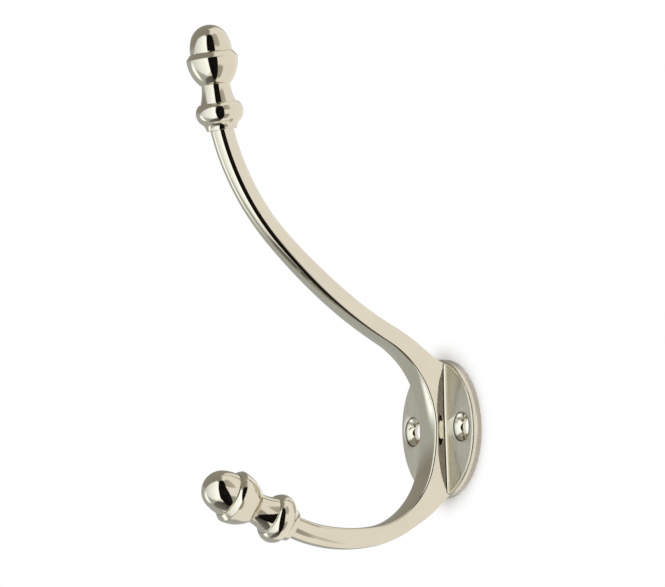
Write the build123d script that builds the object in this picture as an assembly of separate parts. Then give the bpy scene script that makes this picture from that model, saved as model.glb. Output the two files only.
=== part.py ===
from build123d import *
import math
import os

# Hat and coat hook: one polished casting with a round backplate, a bow that carries a tall hat arm
# and a short coat arm, and an acorn finial turned on the end of each arm.
# Millimetres. The origin is the centre of the backplate's back face, on the wall.
# +Z is up, the hook stands out from the wall towards -Y, and X runs along the wall.

# backplate
plate_diameter = 40.0
plate_thickness = 3.0
plate_edge_radius = 0.7

# two countersunk screw holes, side by side
hole_spacing = 27.0
hole_bore = 4.8
countersink_diameter = 8.6
countersink_angle = 90.0

# bow: its front line in side view, from the neck in front of the plate out to each finial
neck_height = 0.6
neck_standout = 3.3
hat_throat_radius = 27.7
hat_throat_turn = 60.2
hat_sweep_radius = 160.7
hat_sweep_turn = 16.1
hat_tip_radius = 72.6
hat_tip_turn = 29.6
coat_neck_radius = 47.6
coat_neck_turn = 15.1
coat_throat_radius = 22.1
coat_throat_turn = 67.9
coat_tip_radius = 45.9
coat_tip_turn = 31.2

# bow: its section, wide and flat-sided at the neck, where its sides spread towards the plate,
# and round under the finials
neck_width = 9.2
neck_sunk = 2.0
shoulder_width = 8.3
side_draft = 10.0
arm_width = 6.4
arm_depth = 6.0
tip_size = 6.6
tip_run_in = 1.0
corner_radius = 0.5
full_round_share = 0.495
root_fillet = 0.7
hat_root_inset = 8.5
hat_shoulder_depth = 6.8
hat_waist_depth = 5.4
coat_root_inset = 10.0
coat_shoulder_depth = 7.3
coat_waist_depth = 5.4

# bow: its root sections, whose depth follows the plate so that the foot ends at the plate's rim
hat_root_depth = plate_diameter / 2 - hat_root_inset
coat_root_depth = plate_diameter / 2 - coat_root_inset

# bow: where each of those sections lies, as a share of the arm from the neck to the tip
hat_root_place = 0.08
hat_shoulder_place = 0.16
hat_waist_place = 0.30
hat_arm_place = 0.56
hat_draft_start = 0.10
hat_draft_end = 0.24
hat_round_start = 0.25
hat_round_end = 0.75
hat_sections = 24
coat_root_place = 0.20
coat_shoulder_place = 0.33
coat_waist_place = 0.45
coat_arm_place = 0.72
coat_draft_start = 0.20
coat_draft_end = 0.45
coat_round_start = 0.60
coat_round_end = 0.90
coat_sections = 18

# finials: an acorn in its cup, on a waisted neck and a beaded collar
hat_finial_lean = 7.2
coat_finial_rise = 24.2
hat_finial_girth = 1.0
coat_finial_girth = 1.06
collar_radius = 4.4
collar_flare = 3.0
bead_foot_radius = 5.4
bead_foot_height = 2.1
bead_radius = 6.8
bead_height = 4.8
bead_top_radius = 5.6
bead_top_height = 7.6
flare_radius = 5.1
waist_radius = 4.15
waist_height = 11.9
cup_foot_radius = 4.4
cup_foot_height = 13.1
cup_foot_step = 0.3
cup_side_radius = 11.0
cup_radius = 7.35
cup_height = 20.6
cup_lip_height = 22.3
acorn_radius = 6.0
acorn_height = 30.1
crown_radius = 5.6
crown_turn = 70.0

side_view = Plane(origin=(0, 0, 0), x_dir=(0, -1, 0), z_dir=(-1, 0, 0))


def bends(start, heading, turns):
    """A smooth line of arcs, each with its radius and its turn in degrees."""
    arcs = []
    for radius, turn in turns:
        arc = JernArc(start, heading, radius, turn)
        arcs.append(arc)
        start = arc @ 1
        heading = arc % 1
    return Wire(arcs)


def hat_line():
    """The hat arm's front line in side view, up from the neck, with the wall at x = 0."""
    turns = [
        (hat_throat_radius, -hat_throat_turn),
        (hat_sweep_radius, hat_sweep_turn),
        (hat_tip_radius, hat_tip_turn),
    ]
    return bends((plate_thickness + neck_standout, neck_height), (0, 1), turns)


def coat_line():
    """The coat arm's front line in side view, down from the neck and out."""
    turns = [
        (coat_neck_radius, coat_neck_turn),
        (coat_throat_radius, coat_throat_turn),
        (coat_tip_radius, coat_tip_turn),
    ]
    return bends((plate_thickness + neck_standout, neck_height), (0, -1), turns)


def eased(share):
    """A share that starts gently from 0 and stops gently at 1."""
    share = min(1.0, max(0.0, share))
    return share * share * (3 - 2 * share)


def grown(place, start, end):
    """How far a change has grown, from 0 where it starts to 1 where it ends."""
    return eased((place - start) / (end - start))


def along(stops, place):
    """A smooth size at a place, through stops that are each a place and a size."""
    slopes = [0.0]
    for before, after in zip(stops, stops[2:]):
        slopes.append((after[1] - before[1]) / (after[0] - before[0]))
    slopes.append(0.0)
    step = 0
    while place > stops[step + 1][0]:
        step += 1
    (start, low), (end, high) = stops[step], stops[step + 1]
    share = (place - start) / (end - start)
    leaving = slopes[step] * share * (1 - share) ** 2
    arriving = slopes[step + 1] * share ** 2 * (1 - share)
    return low + (high - low) * eased(share) + (end - start) * (leaving - arriving)


def bow_section(width, depth, draft, roundness):
    """A section of the bow, width across its front, its corners crisp at roundness 0 and full at 1."""
    back_width = width + 2 * depth * math.tan(math.radians(draft))
    blank = Trapezoid(back_width, depth, 90 + draft)
    full_round = full_round_share * min(width, depth)
    return fillet(blank.vertices(), corner_radius + roundness * (full_round - corner_radius))


def hat_section(place):
    """The hat arm's depth and section at a place."""
    width = along([(0, neck_width), (hat_shoulder_place, shoulder_width), (hat_arm_place, arm_width),
                   (1, tip_size)], place)
    depth = along([(0, neck_standout + neck_sunk), (hat_root_place, hat_root_depth),
                   (hat_shoulder_place, hat_shoulder_depth), (hat_waist_place, hat_waist_depth),
                   (hat_arm_place, arm_depth), (1, tip_size)], place)
    draft = side_draft * (1 - grown(place, hat_draft_start, hat_draft_end))
    return depth, bow_section(width, depth, draft, grown(place, hat_round_start, hat_round_end))


def coat_section(place):
    """The coat arm's depth and section at a place."""
    width = along([(0, neck_width), (coat_shoulder_place, shoulder_width), (coat_arm_place, arm_width),
                   (1, tip_size)], place)
    depth = along([(0, neck_standout + neck_sunk), (coat_root_place, coat_root_depth),
                   (coat_shoulder_place, coat_shoulder_depth), (coat_waist_place, coat_waist_depth),
                   (coat_arm_place, arm_depth), (1, tip_size)], place)
    draft = side_draft * (1 - grown(place, coat_draft_start, coat_draft_end))
    return depth, bow_section(width, depth, draft, grown(place, coat_round_start, coat_round_end))


def bow_plane(front, heading, depth):
    """The plane square to the bow behind a point of its front line, centred in its depth."""
    towards_wall = Vector(-heading.Y, heading.X)
    centre = side_view.from_local_coords(front + towards_wall * (depth / 2))
    upwards = side_view.from_local_coords(heading)
    return Plane(origin=centre, x_dir=(1, 0, 0), z_dir=upwards)


def hat_plane(place):
    """The plane of the hat arm's section at a place."""
    return bow_plane(hat_line() @ place, hat_line() % place, hat_section(place)[0])


def coat_plane(place):
    """The plane of the coat arm's section at a place, facing back up the bow."""
    return bow_plane(coat_line() @ place, -(coat_line() % place), coat_section(place)[0])


def bow():
    """The bow, lofted from the coat arm's tip to the hat arm's, each run on into its collar."""
    sections = []
    for step in range(coat_sections, 0, -1):
        place = step / coat_sections
        sections.append(coat_plane(place) * coat_section(place)[1])
    for step in range(hat_sections + 1):
        place = step / hat_sections
        sections.append(hat_plane(place) * hat_section(place)[1])
    return loft(sections) + extrude(sections[0], -tip_run_in) + extrude(sections[-1], tip_run_in)


def finial(girth):
    """One turned finial, standing on its collar at the origin and pointing up."""
    collar = (girth * collar_radius, 0)
    bead_foot = (girth * bead_foot_radius, bead_foot_height)
    bead = (girth * bead_radius, bead_height)
    bead_top = (girth * bead_top_radius, bead_top_height)
    flare = (girth * flare_radius, bead_top_height)
    waist = (girth * waist_radius, waist_height)
    cup_step = (girth * (cup_foot_radius - cup_foot_step), cup_foot_height)
    cup_foot = (girth * cup_foot_radius, cup_foot_height)
    cup_rim = (girth * cup_radius, cup_height)
    acorn_foot = (girth * acorn_radius, cup_lip_height)
    crown = JernArc((0, acorn_height), (1, 0), girth * crown_radius, -crown_turn)
    outline = [
        Line((0, 0), collar),
        RadiusArc(collar, bead_foot, collar_flare),
        ThreePointArc(bead_foot, bead, bead_top),
        Line(bead_top, flare),
        ThreePointArc(flare, waist, cup_step),
        Line(cup_step, cup_foot),
        RadiusArc(cup_foot, cup_rim, -cup_side_radius),
        Line(cup_rim, acorn_foot),
        TangentArc(crown @ 1, acorn_foot, tangent=crown % 1),
        crown,
        Line(crown @ 0, (0, 0)),
    ]
    return revolve(Plane.XZ * make_face(outline), Axis.Z)


def seated_finial(tip, lean, girth):
    """A finial with its collar on the tip of an arm, leaning out from the vertical."""
    upright = Vector(0, -math.sin(math.radians(lean)), math.cos(math.radians(lean)))
    return Plane(origin=tip, x_dir=(1, 0, 0), z_dir=upright) * finial(girth)


def backplate():
    """The round disc that stands on the wall, with its front edge rounded."""
    disc = Plane.XZ * Cylinder(plate_diameter / 2, plate_thickness,
                               align=(Align.CENTER, Align.CENTER, Align.MIN))
    front_face = disc.faces().sort_by(Axis.Y)[0]
    return fillet(front_face.edges(), plate_edge_radius)


def screw_hole():
    """A countersunk hole through the plate at the origin, as a solid to cut away."""
    sink_depth = (countersink_diameter - hole_bore) / 2 / math.tan(math.radians(countersink_angle / 2))
    bore = Cylinder(hole_bore / 2, 2 * plate_thickness)
    sink = Cone(hole_bore / 2, countersink_diameter / 2, sink_depth,
                align=(Align.CENTER, Align.CENTER, Align.MAX))
    return Plane.XZ * (bore + Pos(0, 0, plate_thickness) * sink)


def hook_casting():
    """The whole hook: the bow rises out of the plate and is flat where it meets the wall."""
    plate = backplate()
    arms = split(bow(), bisect_by=Plane.XZ, keep=Keep.TOP)
    casting = plate + arms
    seams = new_edges(plate, arms, combined=casting)
    face_seams = [edge for edge in seams if edge.center().Y < plate_edge_radius / 10 - plate_thickness]
    casting = fillet(face_seams, root_fillet)
    for side in (-1, 1):
        casting -= Pos(side * hole_spacing / 2, 0, 0) * screw_hole()
    casting += seated_finial(hat_plane(1).origin, hat_finial_lean, hat_finial_girth)
    casting += seated_finial(coat_plane(1).origin, 90 - coat_finial_rise, coat_finial_girth)
    return casting


hook = hook_casting()
print(hook.is_valid, hook.volume, len(hook.solids()), hook.bounding_box())
os.makedirs("parts", exist_ok=True)
export_step(hook, "parts/hook_casting.step")
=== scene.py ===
import math

import bmesh
import bpy
from mathutils import Matrix, Vector


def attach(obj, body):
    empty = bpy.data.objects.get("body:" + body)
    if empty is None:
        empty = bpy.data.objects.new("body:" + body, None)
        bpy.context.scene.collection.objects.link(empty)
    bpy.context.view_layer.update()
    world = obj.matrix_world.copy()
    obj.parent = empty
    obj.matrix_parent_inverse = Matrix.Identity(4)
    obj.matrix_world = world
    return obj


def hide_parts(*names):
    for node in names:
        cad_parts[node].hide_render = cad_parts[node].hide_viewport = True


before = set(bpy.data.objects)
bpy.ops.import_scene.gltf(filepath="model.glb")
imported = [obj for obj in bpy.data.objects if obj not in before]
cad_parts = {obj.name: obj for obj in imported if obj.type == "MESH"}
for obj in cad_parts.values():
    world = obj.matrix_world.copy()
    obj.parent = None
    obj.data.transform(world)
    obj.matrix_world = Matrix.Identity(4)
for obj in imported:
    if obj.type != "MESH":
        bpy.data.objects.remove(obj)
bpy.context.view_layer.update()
mm = 0.001

# The bow: the bar of the hook, from the short coat arm through the neck to the tall hat arm.
# It is cast brass with flat sides at the neck, filed round towards the finials, then polished
# and nickel plated. It is one casting with the plate, which it rises out of.
neck_height = 0.6 * mm
neck_standout = 6.3 * mm
neck_depth = 5.3 * mm
neck_width = 9.2 * mm
shoulder_width = 8.3 * mm
side_draft = 10.0
arm_width = 6.4 * mm
arm_depth = 6.0 * mm
tip_size = 6.6 * mm
tip_run_in = 1.0 * mm
corner_radius = 0.5 * mm
full_round_share = 0.495
crown_height = 0.40 * mm
front_raise = 0.5

# each arm: the arcs of its front line, as radius and turn, its widths and depths, as place along
# the arm and size, and where its draft fades and its section turns round
hat_turns = [(27.7 * mm, -60.2), (160.7 * mm, 16.1), (72.6 * mm, 29.6)]
hat_widths = [(0, neck_width), (0.16, shoulder_width), (0.56, arm_width), (1, tip_size)]
hat_depths = [(0, neck_depth), (0.08, 11.2 * mm), (0.16, 6.8 * mm), (0.30, 5.4 * mm),
              (0.56, arm_depth), (1, tip_size)]
hat_drafting = (0.10, 0.24)
hat_rounding = (0.25, 0.75)
coat_turns = [(47.6 * mm, 15.1), (22.1 * mm, 67.9), (45.9 * mm, 31.2)]
coat_widths = [(0, neck_width), (0.33, shoulder_width), (0.72, arm_width), (1, tip_size)]
coat_depths = [(0, neck_depth), (0.20, 9.0 * mm), (0.318, 7.0 * mm), (0.45, 5.4 * mm),
               (0.72, arm_depth), (1, tip_size)]
coat_drafting = (0.20, 0.45)
coat_rounding = (0.60, 0.90)

# the bow's back stops short of the wall, and behind the plate's front its foot is held within a
# reach of the plate's middle
bow_back = -0.3 * mm
foot_front = -2.9 * mm
foot_reach = 19.85 * mm

hat_stations = 150
coat_stations = 90
corner_steps = 10
face_steps = 9
least_half_width = 0.001 * mm
weld_distance = 0.0001 * mm
bevel_segments = 3


def point_on_arcs(turns, heading, distance):
    """The place and heading at a distance along the arcs, in side view: out from the wall, and up."""
    out, up = neck_standout, neck_height
    for radius, turn in turns:
        length = radius * math.radians(abs(turn))
        share = min(1.0, max(0.0, distance / length))
        swing = math.copysign(1.0, turn) * radius
        turned = heading + math.radians(turn) * share
        out += swing * (math.sin(turned) - math.sin(heading))
        up -= swing * (math.cos(turned) - math.cos(heading))
        heading = turned
        distance -= length
        if distance <= 0:
            break
    return out, up, heading


def eased(share):
    """A share that starts gently from 0 and stops gently at 1."""
    share = min(1.0, max(0.0, share))
    return share * share * (3 - 2 * share)


def grown(place, start, end):
    """How far a change has grown, from 0 where it starts to 1 where it ends."""
    return eased((place - start) / (end - start))


def along(stops, place):
    """A smooth size at a place, through stops that are each a place and a size."""
    slopes = [0.0]
    for before, after in zip(stops, stops[2:]):
        slopes.append((after[1] - before[1]) / (after[0] - before[0]))
    slopes.append(0.0)
    step = 0
    while place > stops[step + 1][0]:
        step += 1
    (start, low), (end, high) = stops[step], stops[step + 1]
    share = (place - start) / (end - start)
    leaving = slopes[step] * share * (1 - share) ** 2
    arriving = slopes[step + 1] * share ** 2 * (1 - share)
    return low + (high - low) * eased(share) + (end - start) * (leaving - arriving)


def bow_station(arm, place):
    """Centre, direction to the wall, and half sizes of the bow's section at a place on an arm."""
    if arm == "hat":
        turns, start, widths, depths = hat_turns, 90.0, hat_widths, hat_depths
        drafting, rounding = hat_drafting, hat_rounding
    else:
        turns, start, widths, depths = coat_turns, -90.0, coat_widths, coat_depths
        drafting, rounding = coat_drafting, coat_rounding
    length = sum(radius * math.radians(abs(turn)) for radius, turn in turns)
    out, up, heading = point_on_arcs(turns, math.radians(start), place * length)
    if arm == "coat":
        heading += math.pi
    upwards = Vector((0, -math.cos(heading), math.sin(heading)))
    to_wall = Vector((0, math.sin(heading), math.cos(heading)))
    width, depth = along(widths, place), along(depths, place)
    full_round = full_round_share * min(width, depth)
    roundness = grown(place, *rounding)
    corner = corner_radius + roundness * (full_round - corner_radius)
    draft = side_draft * (1 - grown(place, *drafting))
    centre = Vector((0, -out, up)) + to_wall * (depth / 2)
    return {"centre": centre, "upwards": upwards, "to_wall": to_wall,
            "half_width": width / 2, "half_depth": depth / 2, "corner": corner,
            "spread": math.tan(math.radians(draft)) / (width / 2),
            "crown": crown_height * (1 - roundness) / (depth / 2)}


def moved(station, distance, size=1.0):
    """A copy of a station, moved along the bow, with its section scaled."""
    copy = dict(station)
    copy["centre"] = station["centre"] + station["upwards"] * distance
    for key in ("half_width", "half_depth", "corner"):
        copy[key] = station[key] * size
    return copy


bow_stations = [bow_station("coat", 1 - step / coat_stations) for step in range(coat_stations)]
bow_stations += [bow_station("hat", step / hat_stations) for step in range(hat_stations + 1)]
# each end runs on into its collar, and closes there
bow_stations.insert(0, moved(bow_stations[0], -tip_run_in))
bow_stations.append(moved(bow_stations[-1], tip_run_in))
bow_stations.insert(0, moved(bow_stations[0], 0, 0.0))
bow_stations.append(moved(bow_stations[-1], 0, 0.0))


def new_object(name, data):
    """An object for a mesh or a lens, linked to the scene."""
    made = bpy.data.objects.new(name, data)
    bpy.context.scene.collection.objects.link(made)
    return made


def line_mesh(name, points):
    """A mesh that is one open line of edges through the points."""
    mesh = bpy.data.meshes.new(name)
    mesh.from_pydata([tuple(p) for p in points], [(k, k + 1) for k in range(len(points) - 1)], [])
    return mesh


def carry(line, name, values):
    """Gives a line's points an attribute, one number or one vector each."""
    if isinstance(values[0], Vector):
        parts = [part for vector in values for part in vector]
        line.attributes.new(name, "FLOAT_VECTOR", "POINT").data.foreach_set("vector", parts)
    else:
        line.attributes.new(name, "FLOAT", "POINT").data.foreach_set("value", values)


def new_tree(name, sockets):
    """A geometry node tree with the named inputs, and its input and output nodes."""
    tree = bpy.data.node_groups.new(name, "GeometryNodeTree")
    tree.interface.new_socket("Geometry", in_out="INPUT", socket_type="NodeSocketGeometry")
    for socket_name, kind in sockets:
        tree.interface.new_socket(socket_name, in_out="INPUT", socket_type=kind)
    tree.interface.new_socket("Geometry", in_out="OUTPUT", socket_type="NodeSocketGeometry")
    given = tree.nodes.new("NodeGroupInput")
    result = tree.nodes.new("NodeGroupOutput")
    return tree, given, result


def maths(tree, operation, first, second=None):
    """A Math node's result, from sockets or plain numbers."""
    node = tree.nodes.new("ShaderNodeMath")
    node.operation = operation
    for slot, value in enumerate((first, second)):
        if value is None:
            continue
        if isinstance(value, bpy.types.NodeSocket):
            tree.links.new(value, node.inputs[slot])
        else:
            node.inputs[slot].default_value = value
    return node.outputs[0]


def sampled(tree, given, kind, value, row):
    """A value read from the given line at a row of the skin."""
    node = tree.nodes.new("GeometryNodeSampleIndex")
    node.data_type = kind
    tree.links.new(given.outputs["Geometry"], node.inputs["Geometry"])
    tree.links.new(value, node.inputs["Value"])
    tree.links.new(row, node.inputs["Index"])
    return node.outputs[0]


def carried(tree, given, kind, name, row):
    """An attribute that the given line carries, at a row of the skin."""
    node = tree.nodes.new("GeometryNodeInputNamedAttribute")
    node.data_type = kind
    node.inputs["Name"].default_value = name
    return sampled(tree, given, kind, node.outputs["Attribute"], row)


def line_point(tree, given, row):
    """The given line's point at a row of the skin."""
    place = tree.nodes.new("GeometryNodeInputPosition").outputs[0]
    return sampled(tree, given, "FLOAT_VECTOR", place, row)


def scaled(tree, vector, factor):
    """A vector times a number."""
    node = tree.nodes.new("ShaderNodeVectorMath")
    node.operation = "SCALE"
    tree.links.new(vector, node.inputs[0])
    tree.links.new(factor, node.inputs["Scale"])
    return node.outputs[0]


def summed(tree, first, second):
    """Two vectors added."""
    node = tree.nodes.new("ShaderNodeVectorMath")
    node.operation = "ADD"
    tree.links.new(first, node.inputs[0])
    tree.links.new(second, node.inputs[1])
    return node.outputs[0]


def skinned_grid(tree, given, columns):
    """A grid to bend into a skin, a row for each of the line's points: its mesh, rows and columns."""
    size = tree.nodes.new("GeometryNodeAttributeDomainSize")
    tree.links.new(given.outputs["Geometry"], size.inputs[0])
    grid = tree.nodes.new("GeometryNodeMeshGrid")
    tree.links.new(size.outputs["Point Count"], grid.inputs["Vertices X"])
    tree.links.new(columns, grid.inputs["Vertices Y"])
    index = tree.nodes.new("GeometryNodeInputIndex").outputs[0]
    row = maths(tree, "FLOOR", maths(tree, "DIVIDE", maths(tree, "ADD", index, 0.5), columns))
    column = maths(tree, "SUBTRACT", index, maths(tree, "MULTIPLY", row, columns))
    return grid.outputs["Mesh"], row, column


def finish_skin(tree, given, result, mesh, position, moves=()):
    """Sets the grid's points, welds its seam and ends, and gives it its material and place."""
    setting = tree.nodes.new("GeometryNodeSetPosition")
    tree.links.new(mesh, setting.inputs["Geometry"])
    tree.links.new(position, setting.inputs["Position"])
    weld = tree.nodes.new("GeometryNodeMergeByDistance")
    weld.inputs["Distance"].default_value = weld_distance
    tree.links.new(setting.outputs[0], weld.inputs["Geometry"])
    end = weld.outputs[0]
    if moves:
        place = tree.nodes.new("GeometryNodeTransform")
        tree.links.new(end, place.inputs["Geometry"])
        for name, target in moves:
            tree.links.new(given.outputs[name], place.inputs[target])
        end = place.outputs[0]
    real = tree.nodes.new("GeometryNodeRealizeInstances")
    paint = tree.nodes.new("GeometryNodeSetMaterial")
    tree.links.new(end, real.inputs[0])
    tree.links.new(real.outputs[0], paint.inputs["Geometry"])
    tree.links.new(given.outputs["Material"], paint.inputs["Material"])
    tree.links.new(paint.outputs[0], result.inputs[0])


# a skin through every station: a rectangle with rounded corners, whose sides spread towards the
# wall, and whose front and back are crowned: both fall away towards their edges, and the front is
# raised by half of its crown
sweep, given, result = new_tree("bow_sweep", [("Corner steps", "NodeSocketInt"),
                                              ("Face steps", "NodeSocketInt"),
                                              ("Back", "NodeSocketFloat"),
                                              ("Plate front", "NodeSocketFloat"),
                                              ("Plate reach", "NodeSocketFloat"),
                                              ("Material", "NodeSocketMaterial")])
quarter = maths(sweep, "ADD", maths(sweep, "ADD", given.outputs["Corner steps"], 1),
                given.outputs["Face steps"])
round_points = maths(sweep, "ADD", maths(sweep, "MULTIPLY", quarter, 4), 1)
mesh, row, column = skinned_grid(sweep, given, round_points)
side = maths(sweep, "FLOOR", maths(sweep, "DIVIDE", maths(sweep, "ADD", column, 0.5), quarter))
step = maths(sweep, "SUBTRACT", column, maths(sweep, "MULTIPLY", side, quarter))
past_face = maths(sweep, "SUBTRACT", step, given.outputs["Face steps"])
on_corner = maths(sweep, "GREATER_THAN", past_face, -0.5)
corner_step = maths(sweep, "DIVIDE", maths(sweep, "MAXIMUM", past_face, 0),
                    given.outputs["Corner steps"])
face_step = maths(sweep, "DIVIDE", maths(sweep, "ADD", step, 1),
                  maths(sweep, "ADD", given.outputs["Face steps"], 1))
along_face = maths(sweep, "MULTIPLY",
                   maths(sweep, "SUBTRACT", maths(sweep, "MULTIPLY", face_step, 2), 1),
                   maths(sweep, "SUBTRACT", 1, on_corner))
angle = maths(sweep, "MULTIPLY", maths(sweep, "ADD", side, corner_step), math.pi / 2)
towards = maths(sweep, "MULTIPLY",
                maths(sweep, "ADD", side, maths(sweep, "MULTIPLY", on_corner, 0.5)), math.pi / 2)
beside = maths(sweep, "ADD", towards, math.pi / 2)
corner = carried(sweep, given, "FLOAT", "corner", row)
halves = []
reach = []
for trig, attribute in (("COSINE", "half_width"), ("SINE", "half_depth")):
    half = carried(sweep, given, "FLOAT", attribute, row)
    ahead, sideways = [maths(sweep, "ROUND", maths(sweep, trig, turn)) for turn in (towards, beside)]
    to_corner = maths(sweep, "ADD", ahead, maths(sweep, "MULTIPLY", sideways, along_face))
    flat = maths(sweep, "MULTIPLY", to_corner, maths(sweep, "SUBTRACT", half, corner))
    halves.append(half)
    reach.append(maths(sweep, "ADD", flat, maths(sweep, "MULTIPLY", maths(sweep, trig, angle), corner)))
crown = carried(sweep, given, "FLOAT", "crown", row)
aside = maths(sweep, "DIVIDE", reach[0], maths(sweep, "MAXIMUM", halves[0], least_half_width))
raised = maths(sweep, "MULTIPLY", maths(sweep, "LESS_THAN", reach[1], 0), front_raise)
crowned = maths(sweep, "SUBTRACT", raised, maths(sweep, "MULTIPLY", aside, aside))
reach[1] = maths(sweep, "MULTIPLY", reach[1],
                 maths(sweep, "ADD", maths(sweep, "MULTIPLY", crowned, crown), 1))
spread = carried(sweep, given, "FLOAT", "spread", row)
behind_face = maths(sweep, "ADD", reach[1], halves[1])
drafted = maths(sweep, "ADD", maths(sweep, "MULTIPLY", behind_face, spread), 1)
across = sweep.nodes.new("ShaderNodeCombineXYZ")
sweep.links.new(maths(sweep, "MULTIPLY", reach[0], drafted), across.inputs["X"])
to_wall = carried(sweep, given, "FLOAT_VECTOR", "to_wall", row)
centre = line_point(sweep, given, row)
position = summed(sweep, summed(sweep, centre, across.outputs[0]), scaled(sweep, to_wall, reach[1]))
parted = sweep.nodes.new("ShaderNodeSeparateXYZ")
sweep.links.new(position, parted.inputs[0])
held = sweep.nodes.new("ShaderNodeCombineXYZ")
sweep.links.new(maths(sweep, "MINIMUM", parted.outputs["Y"], given.outputs["Back"]), held.inputs["Y"])
# behind the plate's front, the foot stays inside the plate's rim
squares = [maths(sweep, "MULTIPLY", parted.outputs[axis], parted.outputs[axis]) for axis in ("X", "Z")]
out_from_middle = maths(sweep, "SQRT", maths(sweep, "ADD", *squares))
behind_front = maths(sweep, "GREATER_THAN", parted.outputs["Y"], given.outputs["Plate front"])
shrink = maths(sweep, "DIVIDE", given.outputs["Plate reach"], out_from_middle)
shrink = maths(sweep, "MINIMUM", shrink, 1)
shrink = maths(sweep, "ADD", maths(sweep, "MULTIPLY", shrink, behind_front),
               maths(sweep, "SUBTRACT", 1, behind_front))
for axis in ("X", "Z"):
    sweep.links.new(maths(sweep, "MULTIPLY", parted.outputs[axis], shrink), held.inputs[axis])
finish_skin(sweep, given, result, mesh, held.outputs[0])


def dressed(obj, tree, values, sharp=None, bevel=None):
    """Runs a tree on an object and leaves its result there as a plain mesh with clean normals."""
    nodes = obj.modifiers.new("nodes", "NODES")
    nodes.node_group = tree
    for item in tree.interface.items_tree:
        if item.in_out == "INPUT" and item.name in values:
            nodes[item.identifier] = values[item.name]
    settle(obj, sharp, bevel)
    return obj


def settle(obj, sharp=None, bevel=None):
    """Applies an object's modifiers, then rounds its hard edges and weights its normals by area."""
    evaluated = obj.evaluated_get(bpy.context.evaluated_depsgraph_get())
    obj.data = bpy.data.meshes.new_from_object(evaluated)
    obj.modifiers.clear()
    skin = bmesh.new()
    skin.from_mesh(obj.data)
    bmesh.ops.recalc_face_normals(skin, faces=skin.faces)
    for face in skin.faces:
        face.smooth = True
    skin.to_mesh(obj.data)
    skin.free()
    if bevel:
        rounding = obj.modifiers.new("rounding", "BEVEL")
        rounding.width = bevel
        rounding.segments = bevel_segments
        rounding.limit_method = "ANGLE"
        rounding.angle_limit = math.radians(sharp)
    weighting = obj.modifiers.new("weighting", "WEIGHTED_NORMAL")
    weighting.weight = 100
    evaluated = obj.evaluated_get(bpy.context.evaluated_depsgraph_get())
    obj.data = bpy.data.meshes.new_from_object(evaluated)
    obj.modifiers.clear()


def stations_mesh(name, stations):
    """A line through the stations' centres that carries each one's sizes."""
    mesh = line_mesh(name, [station["centre"] for station in stations])
    for key in ("half_width", "half_depth", "corner", "spread", "crown", "to_wall"):
        carry(mesh, key, [station[key] for station in stations])
    return mesh


# the plating's small marks: a faint haze, tone and brush lines, shared by every nickel finish
cloud_scale = 90.0
cloud_detail = 4.0
line_scale = 60.0
line_detail = 3.0
ripple_height = 0.02 * mm
haze_span = (0.35, 0.65)
tone_span = (0.3, 0.7)
deep_tone = (0.695, 0.635, 0.50, 1)
pale_tone = (0.745, 0.68, 0.545, 1)

marks = bpy.data.node_groups.new("nickel_marks", "ShaderNodeTree")
for name, way, kind in (("Haze low", "INPUT", "NodeSocketFloat"),
                        ("Haze high", "INPUT", "NodeSocketFloat"),
                        ("Line stretch", "INPUT", "NodeSocketVector"),
                        ("Line height", "INPUT", "NodeSocketFloat"),
                        ("Line tone", "INPUT", "NodeSocketFloat"),
                        ("Color", "OUTPUT", "NodeSocketColor"),
                        ("Roughness", "OUTPUT", "NodeSocketFloat"),
                        ("Normal", "OUTPUT", "NodeSocketVector")):
    marks.interface.new_socket(name, in_out=way, socket_type=kind)
inside = marks.nodes.new("NodeGroupInput")
outside = marks.nodes.new("NodeGroupOutput")
place = marks.nodes.new("ShaderNodeTexCoord").outputs["Object"]
clouds = marks.nodes.new("ShaderNodeTexNoise")
clouds.inputs["Scale"].default_value = cloud_scale
clouds.inputs["Detail"].default_value = cloud_detail
marks.links.new(place, clouds.inputs["Vector"])
stretched = marks.nodes.new("ShaderNodeVectorMath")
stretched.operation = "MULTIPLY"
marks.links.new(place, stretched.inputs[0])
marks.links.new(inside.outputs["Line stretch"], stretched.inputs[1])
lines = marks.nodes.new("ShaderNodeTexNoise")
lines.inputs["Scale"].default_value = line_scale
lines.inputs["Detail"].default_value = line_detail
marks.links.new(stretched.outputs[0], lines.inputs["Vector"])
mixed = maths(marks, "ADD", maths(marks, "MULTIPLY", lines.outputs["Fac"], 0.5),
              maths(marks, "MULTIPLY", clouds.outputs["Fac"], 0.5))
haze = marks.nodes.new("ShaderNodeMapRange")
haze.inputs["From Min"].default_value = haze_span[0]
haze.inputs["From Max"].default_value = haze_span[1]
marks.links.new(mixed, haze.inputs["Value"])
marks.links.new(inside.outputs["Haze low"], haze.inputs["To Min"])
marks.links.new(inside.outputs["Haze high"], haze.inputs["To Max"])
marks.links.new(haze.outputs["Result"], outside.inputs["Roughness"])
streaks = marks.nodes.new("ShaderNodeMix")
marks.links.new(inside.outputs["Line tone"], streaks.inputs["Factor"])
marks.links.new(clouds.outputs["Fac"], streaks.inputs["A"])
marks.links.new(lines.outputs["Fac"], streaks.inputs["B"])
contrast = marks.nodes.new("ShaderNodeMapRange")
contrast.inputs["From Min"].default_value = tone_span[0]
contrast.inputs["From Max"].default_value = tone_span[1]
marks.links.new(streaks.outputs["Result"], contrast.inputs["Value"])
tone = marks.nodes.new("ShaderNodeMix")
tone.data_type = "RGBA"
tone.inputs["A"].default_value = deep_tone
tone.inputs["B"].default_value = pale_tone
marks.links.new(contrast.outputs["Result"], tone.inputs["Factor"])
marks.links.new(tone.outputs["Result"], outside.inputs["Color"])
ripple = marks.nodes.new("ShaderNodeBump")
ripple.inputs["Distance"].default_value = ripple_height
marks.links.new(inside.outputs["Line height"], ripple.inputs["Strength"])
marks.links.new(lines.outputs["Fac"], ripple.inputs["Height"])
marks.links.new(ripple.outputs["Normal"], outside.inputs["Normal"])


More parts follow.
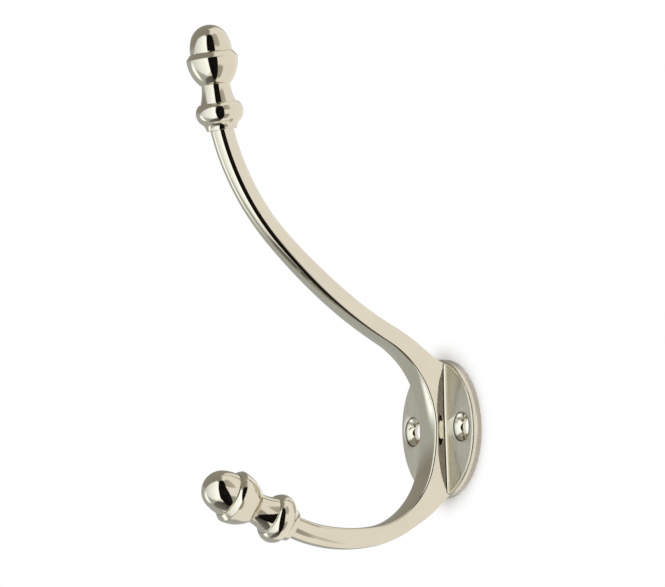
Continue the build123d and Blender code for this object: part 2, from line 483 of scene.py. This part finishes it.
def nickel(name, haze_low, haze_high, stretch, height, line_tone):
    """A nickel finish: bright plate over brass, with its own haze and brush lines."""
    finish = bpy.data.materials.new(name)
    finish.use_nodes = True
    shader = finish.node_tree.nodes["Principled BSDF"]
    shader.inputs["Metallic"].default_value = 1.0
    group = finish.node_tree.nodes.new("ShaderNodeGroup")
    group.node_tree = marks
    for socket, value in (("Haze low", haze_low), ("Haze high", haze_high), ("Line stretch", stretch),
                          ("Line height", height), ("Line tone", line_tone)):
        group.inputs[socket].default_value = value
    for output, socket in (("Color", "Base Color"), ("Roughness", "Roughness"), ("Normal", "Normal")):
        finish.node_tree.links.new(group.outputs[output], shader.inputs[socket])
    return finish


bright_nickel = nickel("bright_nickel", haze_low=0.03, haze_high=0.08, stretch=(1.0, 1.0, 1.0),
                       height=0.05, line_tone=0.0)


def joins_casting(piece):
    """Says that a piece stands for its share of the one casting."""
    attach(piece, "root")
    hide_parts("hook_casting")


bow = dressed(new_object("bow", stations_mesh("bow_line", bow_stations)), sweep,
              {"Corner steps": corner_steps, "Face steps": face_steps, "Back": bow_back,
               "Plate front": foot_front, "Plate reach": foot_reach, "Material": bright_nickel})
joins_casting(bow)

# The backplate: a round disc cast with the bow, with its front edge rounded and its face
# satin from the polishing wheel. Two holes are drilled and countersunk for wood screws, and
# a painted shade darkens the countersinks just under their rims.
plate_radius = 20.0 * mm
plate_thickness = 3.0 * mm
plate_edge_radius = 0.7 * mm
hole_spacing = 27.0 * mm
hole_radius = 2.4 * mm
sink_radius = 4.3 * mm
sink_depth = sink_radius - hole_radius
facing_out = 90
plate_steps = 192
hole_steps = 96
edge_steps = 10
# painted shade in the countersinks: darkest just under their rims, gone by the foot depth, with the
# walls deeper in lifted a little
painted_shade_top = -2.90 * mm
painted_shade_foot = -2.45 * mm
painted_shade_dark = 0.12
unshaded_bright = 1.05

# a turned form: its outline, as radius and height, carried round and set in place
lathe, given, result = new_tree("lathe", [("Steps", "NodeSocketInt"), ("Lean", "NodeSocketRotation"),
                                          ("Place", "NodeSocketVector"),
                                          ("Material", "NodeSocketMaterial")])
mesh, row, column = skinned_grid(lathe, given, maths(lathe, "ADD", given.outputs["Steps"], 1))
angle = maths(lathe, "MULTIPLY", maths(lathe, "DIVIDE", column, given.outputs["Steps"]), 2 * math.pi)
turned = lathe.nodes.new("ShaderNodeVectorRotate")
turned.rotation_type = "Z_AXIS"
lathe.links.new(line_point(lathe, given, row), turned.inputs["Vector"])
lathe.links.new(angle, turned.inputs["Angle"])
finish_skin(lathe, given, result, mesh, turned.outputs[0],
            [("Lean", "Rotation"), ("Place", "Translation")])


def turned_form(name, outline, steps, lean, place, material, sharp=None, bevel=None):
    """A form turned from an outline of radius and height points, leaning out from upright."""
    line = line_mesh(name + "_outline", [(radius, 0, height) for radius, height in outline])
    values = {"Steps": steps, "Lean": (math.radians(lean), 0, 0), "Place": place, "Material": material}
    return dressed(new_object(name, line), lathe, values, sharp, bevel)


satin_nickel = nickel("satin_nickel", haze_low=0.22, haze_high=0.34, stretch=(22.0, 1.0, 1.0),
                      height=0.3, line_tone=0.8)
drilled_nickel = nickel("drilled_nickel", haze_low=0.04, haze_high=0.10, stretch=(1.0, 1.0, 1.0),
                        height=0.2, line_tone=0.0)
# painted shade: the drilled finish's colour is darkened by depth just under the countersinks' rims, and
# lifted a little deeper in
tree = drilled_nickel.node_tree
spot = tree.nodes.new("ShaderNodeSeparateXYZ")
tree.links.new(tree.nodes.new("ShaderNodeTexCoord").outputs["Object"], spot.inputs[0])
painted_shade = tree.nodes.new("ShaderNodeMapRange")
painted_shade.interpolation_type = "SMOOTHSTEP"
for socket, value in (("From Min", painted_shade_top), ("From Max", painted_shade_foot),
                      ("To Min", painted_shade_dark), ("To Max", unshaded_bright)):
    painted_shade.inputs[socket].default_value = value
tree.links.new(spot.outputs["Y"], painted_shade.inputs["Value"])
shaded_colour = scaled(tree, tree.nodes["Group"].outputs["Color"], painted_shade.outputs["Result"])
tree.links.new(shaded_colour, tree.nodes["Principled BSDF"].inputs["Base Color"])

plate_outline = [(0, 0), (plate_radius, 0), (plate_radius, plate_thickness - plate_edge_radius)]
for step in range(1, edge_steps + 1):
    swing = math.radians(90) * step / edge_steps
    plate_outline.append((plate_radius - plate_edge_radius * (1 - math.cos(swing)),
                          plate_thickness - plate_edge_radius * (1 - math.sin(swing))))
plate_outline.append((0, plate_thickness))
backplate = turned_form("backplate", plate_outline, plate_steps, facing_out, (0, 0, 0), satin_nickel)
hole_outline = [(0, -plate_thickness), (hole_radius, -plate_thickness),
                (hole_radius, plate_thickness - sink_depth),
                (sink_radius + plate_thickness, 2 * plate_thickness), (0, 2 * plate_thickness)]
for side in (-1, 1):
    drill = turned_form("drill", hole_outline, hole_steps, facing_out,
                        (side * hole_spacing / 2, 0, 0), drilled_nickel)
    cut = backplate.modifiers.new("hole", "BOOLEAN")
    cut.operation = "DIFFERENCE"
    cut.solver = "EXACT"
    cut.material_mode = "TRANSFER"
    cut.object = drill
    settle(backplate)
    bpy.data.objects.remove(drill)
joins_casting(backplate)

# The root bead: the small rounded seam that the mould leaves where the bow rises out of the
# plate. It is part of the casting, polished bright with the bow.
bead_radius = 0.9 * mm
bead_sink = 0.02 * mm
bead_heart = 0.4 * mm
rim_room = 0.15 * mm
bead_places = 360
bead_steps = 8
cut_tolerance = 1e-9
plane_tolerance = 1e-8
no_length = 1e-12


def ring_at(piece, depth):
    """Places and normals round a piece's outline at a depth in front of the wall, in order."""
    cut = bmesh.new()
    cut.from_mesh(piece.data)
    everything = cut.verts[:] + cut.edges[:] + cut.faces[:]
    bmesh.ops.bisect_plane(cut, geom=everything, dist=cut_tolerance,
                           plane_co=(0, -depth, 0), plane_no=(0, -1, 0))
    cut.normal_update()
    on_plane = {vert for vert in cut.verts if abs(vert.co.y + depth) < plane_tolerance}
    start = min(on_plane, key=lambda vert: vert.co.z)
    ring, left, here = [], set(on_plane), start
    while here is not None:
        left.discard(here)
        ring.append((here.co.copy(), here.normal.copy()))
        beside = [edge.other_vert(here) for edge in here.link_edges]
        here = next((vert for vert in beside if vert in left), None)
    cut.free()
    return ring


def spaced(ring, count):
    """The same closed ring, with its places and normals at even distances."""
    ring = ring + [ring[0]]
    travelled = [0.0]
    for (before, _), (after, _) in zip(ring, ring[1:]):
        travelled.append(travelled[-1] + (after - before).length)
    even, step = [], 0
    for k in range(count):
        target = travelled[-1] * k / count
        while travelled[step + 1] < target:
            step += 1
        share = (target - travelled[step]) / max(travelled[step + 1] - travelled[step], no_length)
        (place, normal), (next_place, next_normal) = ring[step], ring[step + 1]
        even.append((place.lerp(next_place, share), normal.lerp(next_normal, share).normalized()))
    return even


def plate_front(x, z):
    """The depth of the plate's front face at a place, lower on its rounded edge."""
    beyond = math.hypot(x, z) - (plate_radius - plate_edge_radius)
    if beyond <= 0:
        return plate_thickness
    drop = plate_edge_radius ** 2 - min(beyond, plate_edge_radius) ** 2
    return plate_thickness - plate_edge_radius + math.sqrt(drop)


def inside_rim(point):
    """A point moved in to the plate's rim where it lies past it."""
    past = math.hypot(point.x, point.z) / (plate_radius - 2 * bead_sink)
    return Vector((point.x / max(past, 1), point.y, point.z / max(past, 1)))


foot = spaced(ring_at(bow, plate_thickness), bead_places)
seam_sizes = {"bow_edge": [], "plate_edge": [], "heart": [], "pull": []}
for k, (place, normal) in enumerate(foot):
    forward = (foot[(k + 1) % bead_places][0] - foot[k - 1][0]).normalized()
    outward = Vector((normal.x, 0, normal.z)).normalized()
    rising = forward.cross(normal)
    rising = rising * math.copysign(1.0, -rising.y)
    turn = math.acos(max(-1.0, min(1.0, -normal.y)))
    room = plate_radius - rim_room - math.hypot(place.x, place.z)
    reach = max(min(bead_radius * math.tan(turn / 2), bead_radius, room), 2 * bead_sink)
    on_plate = inside_rim(place + outward * reach)
    on_plate.y = bead_sink - plate_front(on_plate.x, on_plate.z)
    seam_sizes["bow_edge"].append(place + rising * reach - normal * bead_sink)
    seam_sizes["plate_edge"].append(on_plate)
    seam_sizes["heart"].append(inside_rim(place - outward * bead_heart + Vector((0, bead_heart, 0))))
    seam_sizes["pull"].append(math.cos(turn / 2))
bead_line = line_mesh("bead_line", [place for place, _ in foot + foot[:1]])
for key, values in seam_sizes.items():
    carry(bead_line, key, values + values[:1])

# a bead along a seam: at each place an arc from the bow to the plate, closed through a heart
# inside the metal
bead_tree, given, result = new_tree("seam_bead", [("Steps", "NodeSocketInt"),
                                                  ("Material", "NodeSocketMaterial")])
mesh, row, column = skinned_grid(bead_tree, given, maths(bead_tree, "ADD", given.outputs["Steps"], 3))
past_arc = maths(bead_tree, "SUBTRACT", column, given.outputs["Steps"])
in_heart = maths(bead_tree, "COMPARE", past_arc, 1)
share = maths(bead_tree, "DIVIDE", column, given.outputs["Steps"])
share = maths(bead_tree, "MULTIPLY", share, maths(bead_tree, "LESS_THAN", past_arc, 0.5))
rest = maths(bead_tree, "SUBTRACT", 1, share)
seam = line_point(bead_tree, given, row)
pull = carried(bead_tree, given, "FLOAT", "pull", row)
weights = [maths(bead_tree, "MULTIPLY", rest, rest),
           maths(bead_tree, "MULTIPLY", maths(bead_tree, "MULTIPLY", rest, share),
                 maths(bead_tree, "MULTIPLY", pull, 2)),
           maths(bead_tree, "MULTIPLY", share, share)]
whole = maths(bead_tree, "ADD", maths(bead_tree, "ADD", weights[0], weights[1]), weights[2])
bow_edge, plate_edge, heart = [carried(bead_tree, given, "FLOAT_VECTOR", key, row)
                               for key in ("bow_edge", "plate_edge", "heart")]
arc = summed(bead_tree, scaled(bead_tree, bow_edge, weights[0]), scaled(bead_tree, seam, weights[1]))
arc = summed(bead_tree, arc, scaled(bead_tree, plate_edge, weights[2]))
arc = scaled(bead_tree, arc, maths(bead_tree, "DIVIDE", 1, whole))
on_arc = maths(bead_tree, "SUBTRACT", 1, in_heart)
position = summed(bead_tree, scaled(bead_tree, arc, on_arc), scaled(bead_tree, heart, in_heart))
finish_skin(bead_tree, given, result, mesh, position)
root_bead = dressed(new_object("root_bead", bead_line), bead_tree,
                    {"Steps": bead_steps, "Material": bright_nickel})
joins_casting(root_bead)

# The finials: an acorn in its cup, turned on the end of each arm above a waisted neck and a
# beaded collar. They are part of the casting, cleaned up on the lathe and polished bright.
finial_steps = 160
finial_edge = 0.12 * mm
finial_sharp = 24
arc_step = 0.12 * mm
fewest_steps = 4
hat_lean = 7.2
coat_lean = 90 - 24.2
hat_girth = 1.0
coat_girth = 1.06


def arc_points(centre, radius, start, end):
    """Points along an arc from one angle to another, in degrees, spaced by the arc step."""
    count = max(fewest_steps, math.ceil(abs(math.radians(end - start)) * radius / arc_step))
    angles = [math.radians(start + (end - start) * k / count) for k in range(count + 1)]
    return [(centre[0] + radius * math.cos(a), centre[1] + radius * math.sin(a)) for a in angles]


def arc_through(start, middle, end):
    """Points along the arc through three points."""
    (ax, ay), (bx, by), (cx, cy) = start, middle, end
    far_a, far_b, far_c = [x ** 2 + y ** 2 for x, y in (start, middle, end)]
    twist = 2 * (ax * (by - cy) + bx * (cy - ay) + cx * (ay - by))
    centre_x = (far_a * (by - cy) + far_b * (cy - ay) + far_c * (ay - by)) / twist
    centre_y = (far_a * (cx - bx) + far_b * (ax - cx) + far_c * (bx - ax)) / twist
    first, last = [math.degrees(math.atan2(y - centre_y, x - centre_x)) for x, y in (start, end)]
    if twist < 0:
        while last > first:
            last -= 360
    else:
        while last < first:
            last += 360
    return arc_points((centre_x, centre_y), math.hypot(ax - centre_x, ay - centre_y), first, last)


def bulged(start, end, radius):
    """Points along the short arc of a radius between two points, bulging left when it is positive."""
    middle = Vector(((start[0] + end[0]) / 2, (start[1] + end[1]) / 2))
    half = (Vector(end) - Vector(start)) / 2
    rise = abs(radius) - math.sqrt(radius ** 2 - half.length ** 2)
    left = Vector((-half.y, half.x)).normalized()
    return arc_through(start, tuple(middle + left * math.copysign(rise, radius)), end)


def finial_outline(girth):
    """The finial's outline from its seat to its crown, as radius and height."""
    collar = (girth * 4.4 * mm, 0)
    collar_flare = 3.0 * mm
    bead_foot = (girth * 5.4 * mm, 2.1 * mm)
    bead = (girth * 6.8 * mm, 4.8 * mm)
    bead_top = (girth * 5.6 * mm, 7.6 * mm)
    flare = (girth * 5.1 * mm, 7.6 * mm)
    waist = (girth * 4.15 * mm, 11.9 * mm)
    cup_step = (girth * 4.1 * mm, 13.1 * mm)
    cup_foot = (girth * 4.4 * mm, 13.1 * mm)
    cup_bulge = 11.0 * mm
    cup_rim = (girth * 7.35 * mm, 20.6 * mm)
    cup_lip = (girth * 6.2 * mm, 22.05 * mm)
    cup_groove = (girth * 5.75 * mm, 21.9 * mm)
    acorn_foot = (girth * 6.0 * mm, 22.3 * mm)
    acorn_top = 30.1 * mm
    crown_radius = girth * 5.6 * mm
    crown_turn = 70.0
    crown = arc_points((0, acorn_top - crown_radius), crown_radius, 90 - crown_turn, 90)
    crown_foot = Vector(crown[0])
    # the acorn's shoulder: the arc that leaves the crown smoothly and ends at the acorn's foot
    heading = Vector((math.cos(math.radians(-crown_turn)), math.sin(math.radians(-crown_turn))))
    chord = Vector(acorn_foot) - crown_foot
    normal = Vector((-heading.y, heading.x))
    radius = chord.length_squared / (2 * chord.dot(normal))
    centre = crown_foot + normal * radius
    first = math.degrees(math.atan2(crown_foot.y - centre.y, crown_foot.x - centre.x))
    last = math.degrees(math.atan2(acorn_foot[1] - centre.y, acorn_foot[0] - centre.x))
    shoulder = arc_points(tuple(centre), abs(radius), last, first)
    outline = [(0, 0)]
    outline += bulged(collar, bead_foot, collar_flare)
    outline += arc_through(bead_foot, bead, bead_top)[1:]
    outline += arc_through(flare, waist, cup_step)
    outline += bulged(cup_foot, cup_rim, -cup_bulge)
    outline += [cup_lip, cup_groove]
    outline += shoulder
    outline += crown[1:]
    return outline


for name, arm, girth, lean in (("hat_finial", "hat", hat_girth, hat_lean),
                               ("coat_finial", "coat", coat_girth, coat_lean)):
    tip = bow_station(arm, 1.0)["centre"]
    joins_casting(turned_form(name, finial_outline(girth), finial_steps, lean, tip, bright_nickel,
                              finial_sharp, finial_edge))

# The stage: a small white board on the wall that takes the plate's soft shadow, a white studio,
# and the soft-edged cards that the bright nickel mirrors: a white softbox, a pale window, a black
# screen by the camera, a dark bench, and grey walls and ceiling.
board_radius = 0.08
board_inner = 0.0185
board_gap = 0.02 * mm
board_steps = 96
shadow_fade = (0.0185, 0.0265)
card_height = 0.04
card_steps = 24
white = (1.0, 1.0, 1.0)
cool = (0.93, 0.99, 1.0)
warm = (1.0, 0.98, 0.92)
daylight = (0.86, 0.93, 1.0)

background = bpy.data.worlds.new("studio")
bpy.context.scene.world = background
background.use_nodes = True
sky = background.node_tree.nodes["Background"]
sky.inputs["Color"].default_value = (*white, 1)
sky.inputs["Strength"].default_value = 1.0

# a card's fade: full inside a rounded frame of its own u and v, and nothing at its border
fade = bpy.data.node_groups.new("card_fade", "ShaderNodeTree")
for name, way in (("Squareness", "INPUT"), ("Softness", "INPUT"), ("Mask", "OUTPUT")):
    fade.interface.new_socket(name, in_out=way, socket_type="NodeSocketFloat")
inside = fade.nodes.new("NodeGroupInput")
outside = fade.nodes.new("NodeGroupOutput")
uv = fade.nodes.new("ShaderNodeSeparateXYZ")
fade.links.new(fade.nodes.new("ShaderNodeTexCoord").outputs["UV"], uv.inputs[0])
powers = []
for axis in ("X", "Y"):
    offset = maths(fade, "SUBTRACT", maths(fade, "MULTIPLY", uv.outputs[axis], 2), 1)
    powers.append(maths(fade, "POWER", maths(fade, "ABSOLUTE", offset), inside.outputs["Squareness"]))
spread = maths(fade, "POWER", maths(fade, "ADD", powers[0], powers[1]),
               maths(fade, "DIVIDE", 1, inside.outputs["Squareness"]))
soften = fade.nodes.new("ShaderNodeMapRange")
soften.interpolation_type = "SMOOTHSTEP"
fade.links.new(spread, soften.inputs["Value"])
fade.links.new(maths(fade, "SUBTRACT", 1, inside.outputs["Softness"]), soften.inputs["From Min"])
for socket, value in (("From Max", 1.0), ("To Min", 1.0), ("To Max", 0.0)):
    soften.inputs[socket].default_value = value
fade.links.new(soften.outputs["Result"], outside.inputs["Mask"])


def glow(name, colour, first, last, squareness, softness):
    """A card's surface: a glow that grades along the card and fades out at its border."""
    made = bpy.data.materials.new(name)
    made.use_nodes = True
    tree = made.node_tree
    tree.nodes.remove(tree.nodes["Principled BSDF"])
    light = tree.nodes.new("ShaderNodeEmission")
    light.inputs["Color"].default_value = (*colour, 1)
    uv = tree.nodes.new("ShaderNodeSeparateXYZ")
    tree.links.new(tree.nodes.new("ShaderNodeTexCoord").outputs["UV"], uv.inputs[0])
    grade = tree.nodes.new("ShaderNodeMapRange")
    grade.inputs["To Min"].default_value = first
    grade.inputs["To Max"].default_value = last
    tree.links.new(uv.outputs["X"], grade.inputs["Value"])
    tree.links.new(grade.outputs["Result"], light.inputs["Strength"])
    group = tree.nodes.new("ShaderNodeGroup")
    group.node_tree = fade
    group.inputs["Squareness"].default_value = squareness
    group.inputs["Softness"].default_value = softness
    mix = tree.nodes.new("ShaderNodeMixShader")
    tree.links.new(group.outputs["Mask"], mix.inputs[0])
    tree.links.new(tree.nodes.new("ShaderNodeBsdfTransparent").outputs[0], mix.inputs[1])
    tree.links.new(light.outputs[0], mix.inputs[2])
    tree.links.new(mix.outputs[0], tree.nodes["Material Output"].inputs["Surface"])
    return made


def card(name, distance, azimuths, elevations, lean, material):
    """A curved card round the hook, between azimuths and elevations in degrees, leaning as it rises."""
    points, faces = [], []
    for across in range(card_steps + 1):
        azimuth = math.radians(azimuths[0] + (azimuths[1] - azimuths[0]) * across / card_steps)
        for up in range(card_steps + 1):
            elevation = math.radians(elevations[0] + (elevations[1] - elevations[0]) * up / card_steps)
            turned = azimuth + elevation * lean
            points.append((distance * math.sin(turned) * math.cos(elevation),
                           -distance * math.cos(turned) * math.cos(elevation),
                           distance * math.sin(elevation) + card_height))
    for across in range(card_steps):
        for up in range(card_steps):
            corner = across * (card_steps + 1) + up
            faces.append((corner, corner + 1, corner + card_steps + 2, corner + card_steps + 1))
    mesh = bpy.data.meshes.new(name)
    mesh.from_pydata(points, [], faces)
    layer = mesh.uv_layers.new(name="card")
    for loop in mesh.loops:
        across, up = divmod(loop.vertex_index, card_steps + 1)
        layer.data[loop.index].uv = (across / card_steps, up / card_steps)
    mesh.materials.append(material)
    made = new_object(name, mesh)
    made.visible_camera = False
    made.visible_diffuse = False
    made.visible_shadow = False


# each card: its distance, azimuths, elevations and lean, and its glow's colour, its strength at
# the first and at the last azimuth, its squareness and its softness
card("black_screen", 0.86, (37, 82), (-72, 60), -0.12,
     glow("screen_black", white, 0.004, 0.010, 5.0, 0.14))
card("dark_bench", 0.88, (-64, 92), (-89, -50), 0.0, glow("bench_dark", white, 0.25, 0.03, 5.0, 0.30))
card("softbox", 0.90, (-50, 86), (-56, 54), 0.0, glow("softbox_white", daylight, 0.8, 2.1, 1.25, 0.20))
card("low_wall", 0.91, (76, 116), (-64, -14), 0.0, glow("low_wall_warm", warm, 0.40, 0.46, 4.0, 0.35))
card("high_wall", 0.91, (70, 116), (14, 64), 0.0, glow("high_wall_warm", warm, 0.42, 0.60, 4.0, 0.35))
card("window", 0.895, (-57, -29), (-50, 4), 0.0, glow("window_pale", daylight, 1.6, 1.6, 2.5, 0.60))
card("ceiling", 0.92, (-150, 66), (4, 89), 0.0, glow("ceiling_grey", warm, 0.34, 0.30, 8.0, 0.25))
card("grey_wall", 0.94, (-136, 30), (-74, 80), 0.0, glow("wall_grey", cool, 0.50, 0.54, 10.0, 0.12))

# the board: a ring round the plate that is chalky close to it, plain white past the shadow, and
# clear from behind
board_turns = [2 * math.pi * k / board_steps for k in range(board_steps)]
board_points = [(radius * math.cos(turn), board_gap, radius * math.sin(turn))
                for radius in (board_inner, board_radius) for turn in board_turns]
board_faces = []
for k in range(board_steps):
    after = (k + 1) % board_steps
    board_faces.append((k, board_steps + k, board_steps + after, after))
board_mesh = bpy.data.meshes.new("wall_board")
board_mesh.from_pydata(board_points, [], board_faces)
board = new_object("wall_board", board_mesh)
board_paint = bpy.data.materials.new("white_board")
board_paint.use_nodes = True
tree = board_paint.node_tree
tree.nodes.remove(tree.nodes["Principled BSDF"])
chalk = tree.nodes.new("ShaderNodeBsdfDiffuse")
chalk.inputs["Color"].default_value = (*white, 1)
plain = tree.nodes.new("ShaderNodeEmission")
from_middle = tree.nodes.new("ShaderNodeVectorMath")
from_middle.operation = "LENGTH"
tree.links.new(tree.nodes.new("ShaderNodeTexCoord").outputs["Object"], from_middle.inputs[0])
fading = tree.nodes.new("ShaderNodeMapRange")
fading.interpolation_type = "SMOOTHSTEP"
fading.inputs["From Min"].default_value = shadow_fade[0]
fading.inputs["From Max"].default_value = shadow_fade[1]
tree.links.new(from_middle.outputs["Value"], fading.inputs["Value"])
shadowed = tree.nodes.new("ShaderNodeMixShader")
tree.links.new(fading.outputs["Result"], shadowed.inputs[0])
tree.links.new(chalk.outputs[0], shadowed.inputs[1])
tree.links.new(plain.outputs[0], shadowed.inputs[2])
one_sided = tree.nodes.new("ShaderNodeMixShader")
tree.links.new(tree.nodes.new("ShaderNodeNewGeometry").outputs["Backfacing"], one_sided.inputs[0])
tree.links.new(shadowed.outputs[0], one_sided.inputs[1])
tree.links.new(tree.nodes.new("ShaderNodeBsdfTransparent").outputs[0], one_sided.inputs[2])
tree.links.new(one_sided.outputs[0], tree.nodes["Material Output"].inputs["Surface"])
board_mesh.materials.append(board_paint)
board.visible_glossy = False
board.visible_diffuse = False

# The camera: a long lens a little below the hook, turned 60 degrees to the side and looking
# slightly up at it.
azimuth = math.radians(59.83)
elevation = math.radians(-3.77)
roll = math.radians(1.85)
camera_distance = 2.5
focal_length = 473.7
sensor_width = 36
clip_end = 100
view_target = Vector((0, -37, 40)) * mm
view_right = 0.754 * mm
view_down = 1.043 * mm

back = Vector((math.sin(azimuth) * math.cos(elevation), -math.cos(azimuth) * math.cos(elevation),
               math.sin(elevation)))
level = Vector((math.cos(azimuth), math.sin(azimuth), 0))
upright = back.cross(level)
right = level * math.cos(roll) - upright * math.sin(roll)
up = level * math.sin(roll) + upright * math.cos(roll)
lens = bpy.data.cameras.new("camera")
lens.lens = focal_length
lens.sensor_width = sensor_width
lens.clip_end = clip_end
camera = new_object("camera", lens)
aim = view_target + right * view_right - up * view_down
facing = Matrix((right, up, back)).transposed().to_4x4()
camera.matrix_world = Matrix.Translation(aim + back * camera_distance) @ facing
bpy.context.scene.camera = camera
bpy.context.scene.view_settings.view_transform = "Standard"
